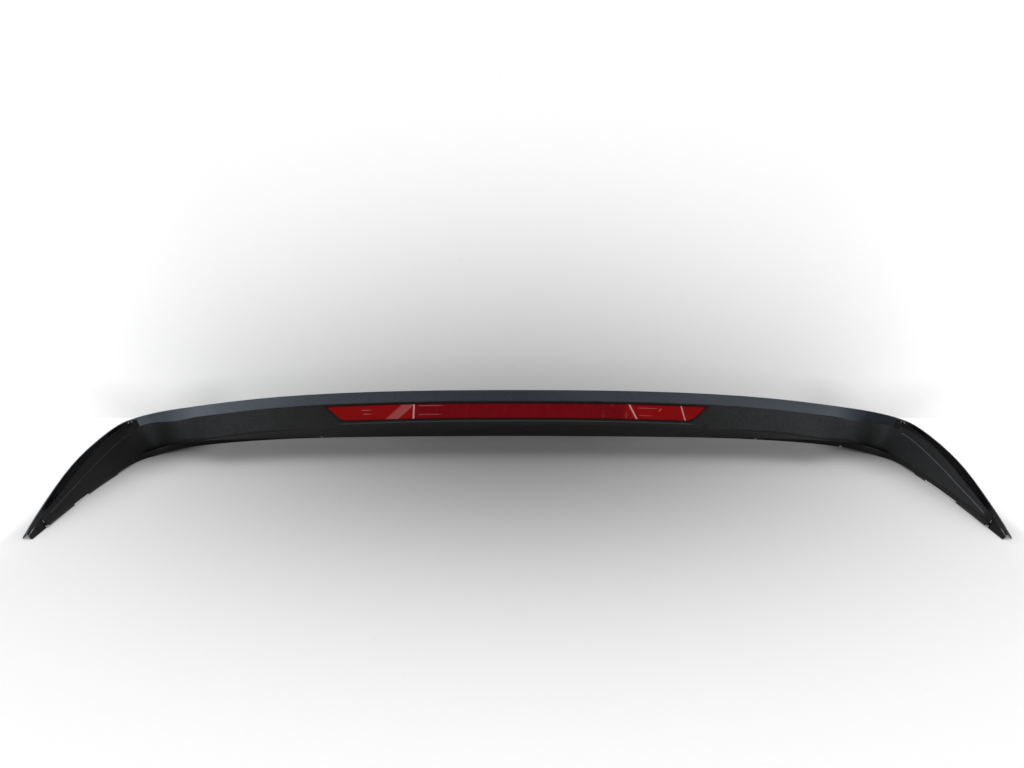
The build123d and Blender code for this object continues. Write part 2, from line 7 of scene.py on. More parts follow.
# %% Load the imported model
import math
import bpy
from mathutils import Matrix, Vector


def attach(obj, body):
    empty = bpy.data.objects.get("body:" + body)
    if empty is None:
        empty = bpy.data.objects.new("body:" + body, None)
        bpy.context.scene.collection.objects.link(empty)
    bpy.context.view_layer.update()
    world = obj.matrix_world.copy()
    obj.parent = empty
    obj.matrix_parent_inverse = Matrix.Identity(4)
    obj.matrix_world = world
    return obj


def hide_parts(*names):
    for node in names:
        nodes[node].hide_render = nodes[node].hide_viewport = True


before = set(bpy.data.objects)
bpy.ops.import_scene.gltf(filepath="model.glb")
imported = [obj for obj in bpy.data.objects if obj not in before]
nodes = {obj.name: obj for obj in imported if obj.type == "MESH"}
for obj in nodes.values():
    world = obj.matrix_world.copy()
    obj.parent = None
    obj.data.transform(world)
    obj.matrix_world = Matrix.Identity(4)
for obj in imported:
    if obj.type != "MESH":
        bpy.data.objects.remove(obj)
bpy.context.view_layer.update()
print("loaded", len(nodes), "pieces")

# %% [markdown]
# ## Shader maths as Python
# A finish is a graph of small nodes. Wiring every node by hand is slow to read, so one class wraps a
# socket and lets a finish be written as an expression: `1 - mask` adds a Math node by itself. Every
# other node is made by the class's `node` method, which takes the node's type, its settings and what
# goes into its sockets.


# %% A socket that can be calculated with
class Shade:
    """One output of a shader node, used as a number, a vector or a colour."""

    def __init__(self, tree, socket=None):
        self.tree = tree
        self.socket = socket

    def node(self, kind, settings=None, sockets=None, output=0):
        made = self.tree.nodes.new(kind)
        for name, value in (settings or {}).items():
            setattr(made, name, value)
        for name, value in (sockets or {}).items():
            self.feed(made.inputs[name], value)
        return Shade(self.tree, made.outputs[output])

    def feed(self, target, value):
        if isinstance(value, Shade):
            self.tree.links.new(value.socket, target)
        else:
            target.default_value = value

    def math(self, operation, first, second=0.0, clamp=False):
        settings = {"operation": operation, "use_clamp": clamp}
        return self.node("ShaderNodeMath", settings, {0: first, 1: second})

    def __add__(self, other):
        return self.math("ADD", self, other)

    def __radd__(self, other):
        return self.math("ADD", other, self)

    def __sub__(self, other):
        return self.math("SUBTRACT", self, other)

    def __rsub__(self, other):
        return self.math("SUBTRACT", other, self)

    def __mul__(self, other):
        return self.math("MULTIPLY", self, other)

    def __rmul__(self, other):
        return self.math("MULTIPLY", other, self)

    def __truediv__(self, other):
        return self.math("DIVIDE", self, other)

    def __pow__(self, other):
        return self.math("POWER", self, other)

    def __neg__(self):
        return self.math("MULTIPLY", self, -1.0)

    def __abs__(self):
        return self.math("ABSOLUTE", self)

    def step(self, start, end):
        """0 before start, 1 after end, and a smooth rise between them."""
        settings = {"interpolation_type": "SMOOTHSTEP"}
        sockets = {"Value": self, "From Min": start, "From Max": end}
        return self.node("ShaderNodeMapRange", settings, sockets)

    def blend(self, first, second):
        """Colour between two colours, by this share of the second."""
        sockets = {0: self, 6: first, 7: second}
        return self.node("ShaderNodeMix", {"data_type": "RGBA"}, sockets, output=2)


print("shader maths ready")


# %% [markdown]
# ## The materials' common start
# Each finish starts from a Principled shader, the place on the object and the direction that its face
# looks in. The solids sit at the origin, so Object coordinates are the same metres that the packed
# model uses, and a pattern keeps its true scale.


# %% Start of a finish
class Finish(Shade):
    """A new material with its place, its facing and the patterns that most finishes use."""

    def __init__(self, name):
        self.material = bpy.data.materials.new(name)
        self.material.use_nodes = True
        super().__init__(self.material.node_tree)
        self.shader = self.tree.nodes["Principled BSDF"]
        self.place = self.node("ShaderNodeTexCoord", output="Object")
        self.x, self.y, self.z = self.parts(self.place)
        facing = self.node("ShaderNodeNewGeometry", output="Normal")
        self.facing_x, self.facing_y, self.facing_z = self.parts(facing)

    def parts(self, vector):
        return [self.node("ShaderNodeSeparateXYZ", None, {0: vector}, output=i) for i in range(3)]

    def vector_math(self, operation, first, second=(0, 0, 0), output="Vector"):
        sockets = {0: first, 1: second}
        return self.node("ShaderNodeVectorMath", {"operation": operation}, sockets, output)

    def stretched(self, x, y, z):
        """The place with each direction scaled, for patterns that run one way."""
        return self.node("ShaderNodeMapping", None, {"Vector": self.place, "Scale": (x, y, z)})

    def noise(self, scale, detail=3.0, place=None):
        sockets = {"Vector": place or self.place, "Scale": scale, "Detail": detail}
        return self.node("ShaderNodeTexNoise", None, sockets)

    def cells(self, scale, output="Distance"):
        return self.node("ShaderNodeTexVoronoi", None, {"Vector": self.place, "Scale": scale}, output)

    def near(self, point, reach):
        """1 at a point of the object, falling to 0 at a distance."""
        away = self.vector_math("DISTANCE", self.place, point, "Value")
        return 1 - away.step(0.0, reach)

    def bump(self, height, strength, depth):
        sockets = {"Height": height, "Strength": strength, "Distance": depth}
        return self.node("ShaderNodeBump", None, sockets)

    def set(self, **values):
        """Values for the shader's sockets, named in lower case with underscores."""
        for name, value in values.items():
            self.feed(self.shader.inputs[name.replace("_", " ").title().replace("Ior", "IOR")], value)

    def give(self, *names):
        for name in names:
            mesh = nodes[name].data
            mesh.materials.clear()
            mesh.materials.append(self.material)


print("finishes ready")

# %% [markdown]
# ## The shape of the fins
# Several finishes and pieces follow the fins. Each fin runs from an end of the trailing edge towards us
# and falls almost to the floor. Two short formulas say how far along a fin a point lies, and how high
# the fin's outer edge is there. The second takes plain numbers and shader sockets alike.

# %% Shape of the fins
FIN_START_Y = 0.0245
FIN_LENGTH = 0.229
FIN_ROOT_HEIGHT = 0.0729
FIN_FALL = 0.0669
FIN_FALL_POWER = 1.6


def fin_share(finish):
    """How far along a fin a point lies, from 0 at its root to 1 at its tip."""
    return finish.math("MAXIMUM", (FIN_START_Y - finish.y) / FIN_LENGTH, 0.0)


def fin_height(share):
    """Height of a fin's outer edge at a share of its length."""
    return FIN_ROOT_HEIGHT - FIN_FALL * share ** FIN_FALL_POWER


print(f"a fin falls from {fin_height(0):.3f} m to {fin_height(1):.3f} m")

# %% [markdown]
# ## The painted skin
# The skin is moulded, then sprayed dark blue-grey with fine metal flakes under a clear coat. It has
# been lying in a store, so dust dulls it in faint patches and specks, and the strip turns paler
# towards its ends, the left end most. The rims of the fins and a thin line under the trailing edge are
# painted paler as highlights, where the rounded edges catch the light. On the fins the groove beside
# the panel was never dusted over and stays a deep gloss black. One material does all of this: masks on
# the place and the facing of a point decide which is which.

# %% Painted skin
FIN_ROOT = 0.5562
FIN_BLUR = 0.0002
TRAILING_HEIGHT = 0.1024
TRAILING_DROP = 0.0295
DROP_POWER = 3.5
ROOT_X = 0.561
RIM_DEPTH = (0.0009, 0.0018)
HIGHLIGHT_START = (0.0009, 0.0012)
HIGHLIGHT_END = (0.0014, 0.0018)
HIGHLIGHT_PALE = 0.12
BOTH_ENDS = (0.12, 0.5)
LEFT_END = (0.3, 0.5)
RIGHT_END = (0.46, 0.54)
END_PALE = 0.2
LEFT_PALE = 0.27
RIGHT_LESS = 0.2
RIM_HIGHLIGHT = 0.25
FLAKES_A_METRE = 2600.0
SPRAY_DARK = (0.007, 0.009, 0.015, 1)
SPRAY_FLAKE = (0.02, 0.024, 0.036, 1)
DUST_AND_SHEEN_GREY = (0.24, 0.28, 0.33, 1)
GROOVE_BLACK = (0.004, 0.004, 0.005, 1)

paint = Finish("dusty_metallic_paint")
on_fin = abs(paint.x).step(FIN_ROOT - FIN_BLUR, FIN_ROOT + FIN_BLUR)
outward = paint.math("SIGN", paint.x)
looks_in = (-(paint.facing_x * outward) - paint.facing_y).step(0.0, 0.2)
rim = (1 - (fin_height(fin_share(paint)) - paint.z).step(*RIM_DEPTH)) * on_fin
groove = on_fin * looks_in * (1 - rim)

film = paint.noise(9.0, 5.0, paint.stretched(0.35, 1.0, 1.0)).step(0.3, 0.75)
specks = paint.noise(420.0, 2.0).step(0.58, 0.75)
left_end = (-paint.x).step(*LEFT_END) * LEFT_PALE
right_end = paint.x.step(*RIGHT_END) * RIGHT_LESS
# The rims of the fins are painted paler as a highlight where their edges catch the light.
pale_ends_and_rim = abs(paint.x).step(*BOTH_ENDS) * END_PALE + left_end - right_end + rim * RIM_HIGHLIGHT
dust_and_sheen = pale_ends_and_rim * (0.6 + film * 0.7) + film * 0.04 + specks * 0.06
# A thin line just under the trailing edge is painted paler as a highlight on its rounded edge.
below_edge = TRAILING_HEIGHT - TRAILING_DROP * (abs(paint.x) / ROOT_X) ** DROP_POWER - paint.z
edge_highlight = below_edge.step(*HIGHLIGHT_START) * (1 - below_edge.step(*HIGHLIGHT_END)) * (1 - on_fin)
dust_and_sheen = (dust_and_sheen + edge_highlight * HIGHLIGHT_PALE) * (1 - groove)

flake_shine = paint.parts(paint.cells(FLAKES_A_METRE, "Color"))[0]
sprayed = flake_shine.blend(SPRAY_DARK, SPRAY_FLAKE)
dusted_and_lit = dust_and_sheen.blend(sprayed, DUST_AND_SHEEN_GREY)
paint.set(
    base_color=groove.blend(dusted_and_lit, GROOVE_BLACK),
    roughness=0.36 + dust_and_sheen * 0.5 - groove * 0.16,
    metallic=(1 - groove) * 0.15,
    specular_ior_level=0.16,
    coat_weight=0.08 + groove * 0.06,
    coat_roughness=0.12,
)
paint.give("upper_skin")
print("painted skin done")

# %% [markdown]
# ## Where the lens lies
# The lens and the panel round it share two lines: the middle line of the lens, which falls towards both
# ends, and its slanted ends. Two helpers measure a point against these lines, so that the gap in the
# panel and the rim of the lens follow the same curve.

# %% Place of the lens
LENS_MIDDLE = 0.0755
LENS_FALL = 0.0026
LENS_FALL_POWER = 3.0
LENS_REACH = 0.28
LENS_HALF = 0.0109
LENS_END = 0.2715
END_LEAN = 1.05


def above_lens_middle(finish):
    """Height over the middle line of the lens."""
    return finish.z - LENS_MIDDLE + LENS_FALL * (abs(finish.x) / LENS_REACH) ** LENS_FALL_POWER


def inside_lens_end(finish, up):
    """Distance to the slanted end of the lens, more than 0 on the lens."""
    return LENS_END + up * END_LEAN - abs(finish.x)


print(f"lens {2 * LENS_END:.3f} m across and {2 * LENS_HALF:.3f} m high")

# %% [markdown]
# ## The panel's grain and chips
# The panel under the skin is unpainted black plastic with a fine leather-like grain from the mould.
# Cells of about a millimetre, rounded by noise, make the grain as a bump. Handling has left dull scuffs
# on the upper face. Its lower edge has a few pale chips where it knocked against something: each is
# the ground round a point, broken up by noise.

# %% Grain, scuffs and chips
GRAINS_A_METRE = 850.0
CHIP_REACH = 0.005
CHIPS = (
    (-0.4745, 0.079, 0.0098),
    (-0.3027, 0.077, 0.0199),
    (0.374, 0.0788, 0.0168),
    (0.4508, 0.0835, 0.0122),
    (0.505, 0.07, 0.0075),
)

grained = Finish("black_grained_plastic")
grain = grained.cells(GRAINS_A_METRE) + grained.noise(2 * GRAINS_A_METRE, 2.0) * 0.6
mottle = grained.noise(480.0, 3.0).step(0.3, 0.7)
scuffs = grained.noise(30.0, 6.0, grained.stretched(0.25, 1.0, 1.0)).step(0.52, 0.8)
haze = grained.noise(5.0, 3.0).step(0.3, 0.8)
chip = 0.0
for spot in CHIPS:
    chip = grained.near(spot, CHIP_REACH) + chip
chipped = (chip * grained.noise(260.0, 3.0)).step(0.28, 0.36)
print("grain and", len(CHIPS), "chips done")

# %% [markdown]
# ## The panel's lines
# On each fin a dark border and a dark seam frame the panel, and the tip is darker. A dark gap runs
# round the lens, with a pale line below it that is a painted highlight on its rim, and a small dark
# spot beside it. Below the panel's fold, where the face looks down, shade is painted in as a darker
# black, and the foot is darker too. All of these are masks on the place of a point, which costs less
# than modelling lines that are thinner than a millimetre.

# %% Lines and dark faces
FIN_FACE = (0.55, 0.562)
BORDER_SHARE = (0.81, 0.85)
TIP_SHARE = (0.79, 0.83)
LEDGE_ROOT = 0.0102
LEDGE_FALL = 0.0024
SEAM_WIDTH = (0.0004, 0.001)
RIM_LINE = 0.0145
RIM_LINE_WIDTH = (0.0003, 0.001)
RIM_LINE_END = (0.255, 0.268)
GAP_WIDTH = (0.0004, 0.001)
GAP_END = (-0.0018, -0.0008)
DARK_SPOT = (0.2785, 0.0295, 0.0552)
SPOT_REACH = 0.0035
FOLD_HEIGHT = 0.0535
FOLD_REACH = 0.55
FOLD_POWER = 9.2
FOLD_BLUR = 0.0012
FOOT_BLUR = 0.0008

on_fin = abs(grained.x).step(*FIN_FACE)
along = fin_share(grained)
border = (grained.z / fin_height(along)).step(*BORDER_SHARE) * on_fin
seam = (1 - abs(grained.z - LEDGE_ROOT + LEDGE_FALL * along).step(*SEAM_WIDTH)) * on_fin
tip = along.step(*TIP_SHARE) * on_fin

up = above_lens_middle(grained)
# The pale line under the lens is a painted highlight on the rim below it.
lens_highlight_line = (1 - abs(up + RIM_LINE).step(*RIM_LINE_WIDTH)) * (1 - abs(grained.x).step(*RIM_LINE_END))
beside_lens = inside_lens_end(grained, up).step(*GAP_END)
lamp_gap = (1 - (abs(up) - LENS_HALF).step(*GAP_WIDTH)) * beside_lens
dark_spot = grained.near(DARK_SPOT, SPOT_REACH).step(0.3, 0.5)

# Below the fold, where the face looks down, shade is painted in, and the foot is darker too.
fold = FOLD_HEIGHT * (1 - (abs(grained.x) / FOLD_REACH) ** FOLD_POWER)
under_fold = (fold - grained.z).step(0.0, FOLD_BLUR)
looks_down = (-grained.facing_z).step(0.4, 0.6)
shaded_below_fold = grained.math("MAXIMUM", looks_down, under_fold) * (1 - on_fin)
foot = (LEDGE_ROOT - grained.z).step(0.0, FOOT_BLUR) * 0.8
painted_underside_shade = grained.math("MAXIMUM", shaded_below_fold, foot)
print("panel lines done")

# %% [markdown]
# ## The panel's finish
# Haze and scuffs make the black plastic greyer in places. It is also made greyer towards the ends and
# on the right, though not on the left fin, and light is painted in near the corners where the panel
# meets the fins. The painted shade of the lower face takes part of this away, and the highlight line
# under the lens is added. This is mixed first, then the dark lines are laid over it, and the chips
# come last, because they break through everything.

# %% Grained panel
LEFT_FIN = (0.54, 0.58)
CORNER = (0.46, 0.5)
PALER_ENDS = (0.2, 0.45)
PALER_RIGHT = (0.2, 0.55)
END_GREY = 0.38
CORNER_LIGHT = 0.35
GRAIN_DEPTH = 0.0004
PLASTIC_BLACK = (0.005, 0.005, 0.0055, 1)
PLASTIC_WORN_AND_LIT = (0.044, 0.046, 0.049, 1)
LINE_BLACK = (0.002, 0.002, 0.002, 1)
CHIP_PALE = (0.5, 0.5, 0.48, 1)

left_fin = (-grained.x).step(*LEFT_FIN)
# Near the corners where the panel meets the fins, light is painted in.
corner = abs(grained.x).step(*CORNER) * (1 - on_fin)
paler_ends_and_lit_corners = abs(grained.x).step(*PALER_ENDS) * (END_GREY - left_fin * END_GREY)
paler_ends_and_lit_corners = paler_ends_and_lit_corners + grained.x.step(*PALER_RIGHT) * 0.2 + corner * CORNER_LIGHT
spread = (0.5 + abs(grained.x).step(0.1, 0.3) * 0.5) * (1 - on_fin * 0.35)
worn_and_lit = (haze * 0.12 + scuffs * 0.16 + paler_ends_and_lit_corners) * (0.7 + mottle * 0.6) * spread
wear_light_shade = worn_and_lit * (1 - painted_underside_shade * 0.75) + lens_highlight_line * 0.8
plain = (wear_light_shade * (1 - tip)).blend(PLASTIC_BLACK, PLASTIC_WORN_AND_LIT)
dark = grained.math("ADD", seam * 0.9 + border * 0.8 + dark_spot, lamp_gap, clamp=True)
lined = dark.blend(plain, LINE_BLACK)
grained.set(
    base_color=chipped.blend(lined, CHIP_PALE),
    roughness=0.5 + haze * 0.12 + scuffs * 0.1,
    specular_ior_level=0.22,
    normal=grained.bump(grain, 0.4, GRAIN_DEPTH),
)
grained.give("lower_panel")
print("grained panel done")

# %% [markdown]
# ## The lines in the lens
# The brake lamp's lens is clear red plastic over a bright tray. Thin pale lines mark the walls of its
# cells, and a pale band leaning across its left part is a painted reflection. They are masks as well:
# `stroke` draws a line that leans over the height of the lens, and `bar` a level one that fades out at
# its end.

# %% Lines in the lens
LEFT_CELL = -0.153
RIGHT_CELL = 0.172
LINE_REACH = 0.011
LINE_BLUR = 0.001
BAR_WIDTH = (0.0003, 0.0009)
BAR_RISE = 0.003
BAR_FADE = 0.012
BRIGHTEST = 0.85
SPECKLE_START = (0.125, 0.14)
SPECKLE_END = (0.165, 0.176)

# Centre, lean, width, lower end and upper end of one short line.
SHORT_STROKE = (0.212, 0.6, 0.0018, 0.001, 0.006)

# Centre, lean, width and strength of the lines over the full height. The first two, which lean
# most, are a painted reflection.
STROKES = (
    (-0.175, 1.2, 0.01, 0.13),
    (-0.166, 1.2, 0.003, 0.12),
    (LEFT_CELL, 0.05, 0.0016, 0.6),
    (RIGHT_CELL + 0.002, -0.55, 0.0017, 0.6),
    (0.248, -0.3, 0.0014, 0.5),
)

# Height, start, end and strength of the level lines.
BARS = (
    (0.008, -0.147, -0.106, 0.17),
    (-0.0045, -0.147, -0.108, 0.13),
    (0.0035, -0.231, -0.212, 0.2),
    (-0.002, -0.229, -0.211, 0.16),
    (0.0055, 0.18, 0.215, 0.14),
    (-0.005, 0.182, 0.205, 0.11),
)

lens = Finish("polished_red_lens")
up = above_lens_middle(lens)


def stroke(centre, lean, width, low=-LINE_REACH, high=LINE_REACH):
    """A thin moulded line of the optics, leaning over the height of the lens."""
    away = abs(lens.x - centre - up * lean)
    line = (1 - away.step(width * 0.5, width)) * up.step(low, low + LINE_BLUR)
    return line * (1 - up.step(high - LINE_BLUR, high))


def bar(height, start, end):
    """A thin level line of the optics."""
    length = lens.x.step(start, start + BAR_RISE) * (1 - lens.x.step(end - BAR_FADE, end))
    return (1 - abs(up - height).step(*BAR_WIDTH)) * length


streaks = lens.noise(160.0, 4.0, lens.stretched(1.0, 0.2, 0.35)).step(0.5, 0.75)
speckled = streaks * lens.x.step(*SPECKLE_START) * (1 - lens.x.step(*SPECKLE_END))
bright = stroke(*SHORT_STROKE) * 0.18 + speckled * 0.2
# The first two strokes, which lean most, are a painted reflection on the lens.
for *line, strength in STROKES:
    bright = bright + stroke(*line) * strength
for *line, strength in BARS:
    bright = bright + bar(*line) * strength
bright = lens.math("MINIMUM", bright, BRIGHTEST)
print(len(STROKES) + len(BARS) + 1, "lines in the lens")

# %% [markdown]
# ## The red of the lens
# Unlit, the lens looks deep red in the middle and brighter in the cells at both ends. Fine upright
# flutes on its back spread the light: a sine wave gives them as a bump. The face is polished, but the
# white room gives it little to mirror, so a thin coat is enough.

# %% Red lens
FLUTE = 0.0042
FLUTE_DEPTH = 0.0004
CELL_FADE = 0.02
LENS_RIM = (0.0004, 0.0016)
DEEP_RED = (0.12, 0.001, 0.003, 1)
CLOUDY_RED = (0.18, 0.002, 0.006, 1)
CELL_RED = (0.25, 0.003, 0.003, 1)
PALE_LINE_AND_REFLECTION = (0.8, 0.42, 0.42, 1)
RIM_RED = (0.012, 0.0005, 0.001, 1)

left_cell = 1 - lens.x.step(LEFT_CELL - LINE_BLUR, LEFT_CELL + LINE_BLUR)
outer_cells = left_cell + lens.x.step(RIGHT_CELL - CELL_FADE, RIGHT_CELL)
wave = lens.math("SINE", lens.x * (2 * math.pi / FLUTE))
cloud = lens.noise(90.0, 4.0)
deep = cloud.blend(DEEP_RED, CLOUDY_RED)
red = (outer_cells * 0.75 + wave * 0.03).blend(deep, CELL_RED)
drawn = bright.blend(red, PALE_LINE_AND_REFLECTION)
to_rim = lens.math("MINIMUM", LENS_HALF - abs(up), inside_lens_end(lens, up))
rim = 1 - to_rim.step(*LENS_RIM)
lens.set(
    base_color=(rim * 0.85).blend(drawn, RIM_RED),
    roughness=0.22 + cloud * 0.1,
    specular_ior_level=0.05,
    coat_weight=0.05,
    coat_roughness=0.04,
    normal=lens.bump(wave, 0.06, FLUTE_DEPTH),
)
lens.give("lamp_lens")
print("red lens done")

# %% [markdown]
# ## The pieces behind
# Trays, brackets, seals and fixings don't show from the front, but each has its own finish for anyone
# who turns the spoiler over: moulded plastic with a faint flow pattern, foam with open pores, plated
# steel with brushed lines, and a lacquered board. They differ by colour and gloss only, so one function
# for each kind of stuff is enough.


# %% Moulded plastics, foams and metals
def moulded(name, colour, pale, roughness, *users):
    """Plain moulded plastic with faint flow marks and a little texture."""
    made = Finish(name)
    flow = made.noise(22.0, 4.0)
    made.set(
        base_color=flow.blend((*colour, 1), (*pale, 1)),
        roughness=roughness + flow * 0.15,
        specular_ior_level=0.25,
        normal=made.bump(made.noise(900.0, 2.0), 0.15, 0.0002),
    )
    made.give(*users)


def porous(name, colour, pale, *users):
    """Foam or rubber with small pores."""
    made = Finish(name)
    pores = made.cells(1500.0)
    made.set(
        base_color=pores.blend((*colour, 1), (*pale, 1)),
        roughness=0.75 + pores * 0.2,
        normal=made.bump(pores, 0.5, 0.0004),
    )
    made.give(*users)


def metal(name, colour, pale, roughness, *users):
    """Bare or plated metal with fine drawn lines."""
    made = Finish(name)
    lines = made.noise(900.0, 3.0, made.stretched(0.05, 1.0, 1.0))
    made.set(
        base_color=lines.blend((*colour, 1), (*pale, 1)),
        roughness=roughness + lines * 0.15,
        metallic=1.0,
    )
    made.give(*users)


BRACKETS = [f"{place}_bracket_{hand}" for place in ("inner", "outer") for hand in ("left", "right")]
CAPS = ["fin_end_cap_left", "fin_end_cap_right"]
FOAMS = ["lamp_gasket", "stud_seals", "lower_edge_seal"]
TAPES = ["fin_tape_left", "fin_tape_right"]
moulded("lamp_tray_plastic", (0.05, 0.05, 0.052), (0.075, 0.075, 0.078), 0.5, "lamp_housing")
moulded("socket_plastic", (0.06, 0.06, 0.065), (0.09, 0.09, 0.095), 0.45, "lamp_connector")
moulded("bracket_plastic", (0.035, 0.035, 0.037), (0.06, 0.06, 0.062), 0.5, *BRACKETS)
moulded("cap_plastic", (0.002, 0.002, 0.003), (0.005, 0.005, 0.006), 0.6, *CAPS)
moulded("board_lacquer", (0.02, 0.12, 0.05), (0.04, 0.17, 0.08), 0.3, "lamp_circuit_board")
moulded("light_chip_resin", (0.75, 0.5, 0.12), (0.85, 0.62, 0.2), 0.25, "lamp_leds")
porous("closed_cell_foam", (0.02, 0.02, 0.02), (0.05, 0.05, 0.05), *FOAMS)
porous("seal_rubber", (0.015, 0.015, 0.015), (0.03, 0.03, 0.03), "leading_edge_seal")
porous("tape_foam", (0.02, 0.02, 0.02), (0.05, 0.05, 0.05), *TAPES)
metal("plated_steel", (0.5, 0.5, 0.47), (0.66, 0.66, 0.62), 0.3, "mount_studs", "lamp_screws")
metal("bright_reflector", (0.74, 0.74, 0.76), (0.86, 0.86, 0.88), 0.08, "lamp_reflector")
metal("terminal_brass", (0.62, 0.45, 0.18), (0.78, 0.6, 0.3), 0.25, "connector_terminals")
print("hidden finishes done")

# %% [markdown]
# ## A strip along a path
# The ribs, the lips and the pale lines at the fins' feet are all thin strips that follow a curve. Each
# starts as a flat face that is stood up, turned and pulled from point to point, so that every strip is
# closed.


# %% Pulled strips
def pulled_strip(name, stations, size, turn, finish):
    """A closed strip: a face of the size, stood up, turned and pulled through the stations."""
    bpy.ops.object.select_all(action="DESELECT")
    bpy.ops.mesh.primitive_plane_add(size=1)
    strip = bpy.context.object
    strip.name = name
    bpy.ops.object.mode_set(mode="EDIT")
    bpy.ops.mesh.select_all(action="SELECT")
    bpy.ops.transform.resize(value=(*size, 1))
    bpy.ops.transform.rotate(value=math.pi / 2, orient_axis="X", center_override=(0, 0, 0))
    bpy.ops.transform.rotate(value=turn, orient_axis="Z", center_override=(0, 0, 0))
    bpy.ops.transform.translate(value=stations[0])
    for near, far in zip(stations, stations[1:]):
        bpy.ops.mesh.extrude_region_move(TRANSFORM_OT_translate={"value": far - near})
    bpy.ops.mesh.select_all(action="SELECT")
    bpy.ops.mesh.normals_make_consistent(inside=False)
    bpy.ops.object.mode_set(mode="OBJECT")
    strip.data.materials.append(finish.material)
    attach(strip, "root")
    print(name, len(strip.data.polygons), "faces")


SIDES = {"left": -1, "right": 1}
print("ready to pull strips")

# %% [markdown]
# ## The ribs on the fins
# A thin rib frames the panel of each fin. It starts beside the groove, falls away from it along the fin
# and ends at the corner near the tip. Its path is found on the panel itself: from between the fins a
# ray goes out at each step and stops at the panel's face. The right rib is paler than the left.

# %% Ribs
RIB_SIZE = 0.0013
RIB_STEPS = 16
RIB_START = 0.04
RIB_END = 0.8
RIB_SHARE = 0.72
RIB_LEAN = 0.42
RIB_LEAST = 0.49
BETWEEN_FINS_X = 0.45
RIB_BLACK = (0.015, 0.015, 0.016, 1)
RIB_PALE = (0.1, 0.102, 0.106, 1)

ribbed = Finish("rib_plastic")
rib_tone = ribbed.noise(200.0, 4.0) * 0.3 + ribbed.x.step(-0.1, 0.1) * 0.8
ribbed.set(
    base_color=rib_tone.blend(RIB_BLACK, RIB_PALE),
    roughness=0.45 + rib_tone * 0.15,
    specular_ior_level=0.25,
)


def rib_path(side):
    """Points on the panel's face, without those where the ray slips between two faces of the mesh."""
    path = []
    for i in range(RIB_STEPS + 1):
        share = RIB_START + (RIB_END - RIB_START) * i / RIB_STEPS
        height = fin_height(share) * max(RIB_SHARE - RIB_LEAN * share, RIB_LEAST)
        start = Vector((side * BETWEEN_FINS_X, FIN_START_Y - FIN_LENGTH * share, height))
        found, place = nodes["lower_panel"].ray_cast(start, Vector((side, 0, 0)))[:2]
        if found:
            path.append(place)
    return path


for hand, side in SIDES.items():
    pulled_strip(f"fin_rib_{hand}", rib_path(side), (RIB_SIZE, RIB_SIZE), 0, ribbed)

# %% [markdown]
# ## The lip under the panel
# Towards each fin the panel's lower face runs on, down to the floor and round to the fin, as a thin lip.
# It is a strip like the ribs but taller, and its upper part is hidden behind the panel's foot. Its end
# face is turned halfway, so the wall is as thick along the foot as along the fin. It shares the panel's
# finish, so the grain and the dark lower face carry on across it.

# %% Lips
LIP_HEIGHT = 0.01
LIP_WALL = 0.0018
LIP_STEPS = 20
LIP_START = (0.3, 0.078, 0.0195)
LIP_REACH_X = 0.278
LIP_REACH_Y = 0.098
LIP_BOW = 3.5
LANDS_AT = 0.72
LIP_CLEARANCE = 0.0005


def lip_path(side):
    """Middle of the lip, which sinks to the floor and bows round to the fin."""
    start_x, start_y, start_z = LIP_START
    path = []
    for i in range(LIP_STEPS + 1):
        share = i / LIP_STEPS
        x = start_x + LIP_REACH_X * (1 - (1 - share) ** 2)
        y = start_y - LIP_REACH_Y * share**LIP_BOW
        foot = max(start_z * (1 - share / LANDS_AT), LIP_CLEARANCE)
        path.append(Vector((side * x, y, foot + LIP_HEIGHT / 2)))
    return path


for hand, side in SIDES.items():
    halfway = -side * math.radians(45)
    lip_size = (LIP_WALL, LIP_HEIGHT)
    pulled_strip(f"panel_lip_{hand}", lip_path(side), lip_size, halfway, grained)

# %% [markdown]
# ## The pale line at the foot
# A short pale line runs along the foot of each fin, just inside its foam tape. It is a strip too,
# thinner than the ribs, pulled along the foot of the fin.

# %% Pale lines at the foot
FOOT_STRIP_WALL = 0.0004
FOOT_STRIP_HEIGHT = 0.0017
FOOT_STRIP_CLEARANCE = 0.0004
FOOT_STRIP_STEPS = 4
LOWER_X = 0.5705
LOWER_FLARE = 0.015
LOWER_START_Y = 0.0165
LOWER_LENGTH = 0.221
FOOT_STRIP_GREY = (0.72, 0.71, 0.68, 1)
FOOT_STRIP_WHITE = (0.86, 0.85, 0.83, 1)

foot_strip_finish = Finish("pale_foot_strip")
strip_texture = foot_strip_finish.noise(700.0, 4.0)
foot_strip_finish.set(base_color=strip_texture.blend(FOOT_STRIP_GREY, FOOT_STRIP_WHITE), roughness=0.6 + strip_texture * 0.2)


def on_lower_edge(side, y):
    """Point at the foot of a fin, just inside its tape."""
    share = (LOWER_START_Y - y) / LOWER_LENGTH
    x = LOWER_X + LOWER_FLARE * (1 - (1 - share) ** 3)
    return Vector((side * x, y, FOOT_STRIP_HEIGHT / 2 + FOOT_STRIP_CLEARANCE))


def foot_strip_piece(name, side, start_y, end_y):
    step = (end_y - start_y) / FOOT_STRIP_STEPS
    stations = [on_lower_edge(side, start_y + step * i) for i in range(FOOT_STRIP_STEPS + 1)]
    pulled_strip(name, stations, (FOOT_STRIP_WALL, FOOT_STRIP_HEIGHT), 0, foot_strip_finish)


foot_strip_piece("pale_line_left", side=-1, start_y=-0.083, end_y=-0.114)
foot_strip_piece("pale_line_right", side=1, start_y=-0.04, end_y=-0.107)

# %% [markdown]
# ## The glints at the fins' roots
# Where the groove of each fin starts, its rounded gloss-black end catches a bright glint. A small bright
# half ring stands there as a painted highlight: a torus of round wire cut through by a plane, with the
# cut closed, then turned to lie on the groove's face.

